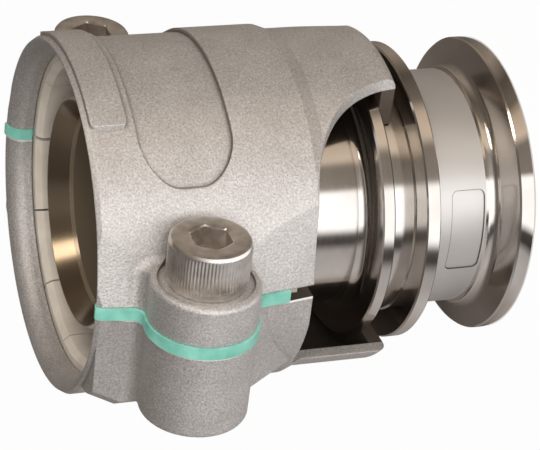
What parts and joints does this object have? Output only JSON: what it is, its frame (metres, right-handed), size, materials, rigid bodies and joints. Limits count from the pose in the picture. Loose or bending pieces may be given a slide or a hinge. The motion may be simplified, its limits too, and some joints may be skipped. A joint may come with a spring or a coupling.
{
  "type": "hose fitting",
  "caption": "Sanitary clamp-ferrule hose coupling: ribbed nipple with collars, two bolted cast casing halves, resin grip sleeve and soft spacer sheets.",
  "frame": {"origin": "centre of the ferrule's sealing face, on the hose axis", "axes": "+Z along the hose axis from the ferrule face to the hose mouth; the clamp screws run along Y with their heads towards -Y; the screw bosses stand at +X and -X"},
  "size_m": [0.0864, 0.0594, 0.0762],
  "materials": {
    "nipple_steel": "turned and polished stainless steel",
    "casing_cast": "bead-blasted cast stainless steel",
    "screw_steel": "satin stainless steel, knurled head",
    "sleeve_resin": "moulded cream resin",
    "spacer_sheet": "soft green sheet"
  },
  "bodies": {
    "nipple_body": {"nipple": "nipple_steel"},
    "casing_body": {"casing_back": "casing_cast", "sleeve_back": "sleeve_resin", "spacer_left": "spacer_sheet", "spacer_right": "spacer_sheet"},
    "clamp_body": {"casing_front": "casing_cast", "sleeve_front": "sleeve_resin"},
    "left_screw_body": {"screw_left": "screw_steel"},
    "right_screw_body": {"screw_right": "screw_steel"}
  },
  "joints": [
    {"name": "casing_swivel", "type": "hinge", "parent": "nipple_body", "child": "casing_body", "pos_m": [0, 0, 0.0235], "axis": [0, 0, 1], "continuous": true},
    {"name": "clamp_open", "type": "slide", "parent": "casing_body", "child": "clamp_body", "axis": [0, -1, 0], "range_m": [0, 0.0112]},
    {"name": "screw_left_turn", "type": "hinge", "parent": "clamp_body", "child": "left_screw_body", "pos_m": [-0.0341, 0, 0.0604], "axis": [0, -1, 0], "range_deg": [0, 3226]},
    {"name": "screw_right_turn", "type": "hinge", "parent": "clamp_body", "child": "right_screw_body", "pos_m": [0.0341, 0, 0.0604], "axis": [0, -1, 0], "range_deg": [0, 3226]}
  ],
  "couplings": [
    {"joint": "screw_left_turn", "follows": "clamp_open", "rad_per_m": 5026.5},
    {"joint": "screw_right_turn", "follows": "clamp_open", "rad_per_m": 5026.5}
  ]
}
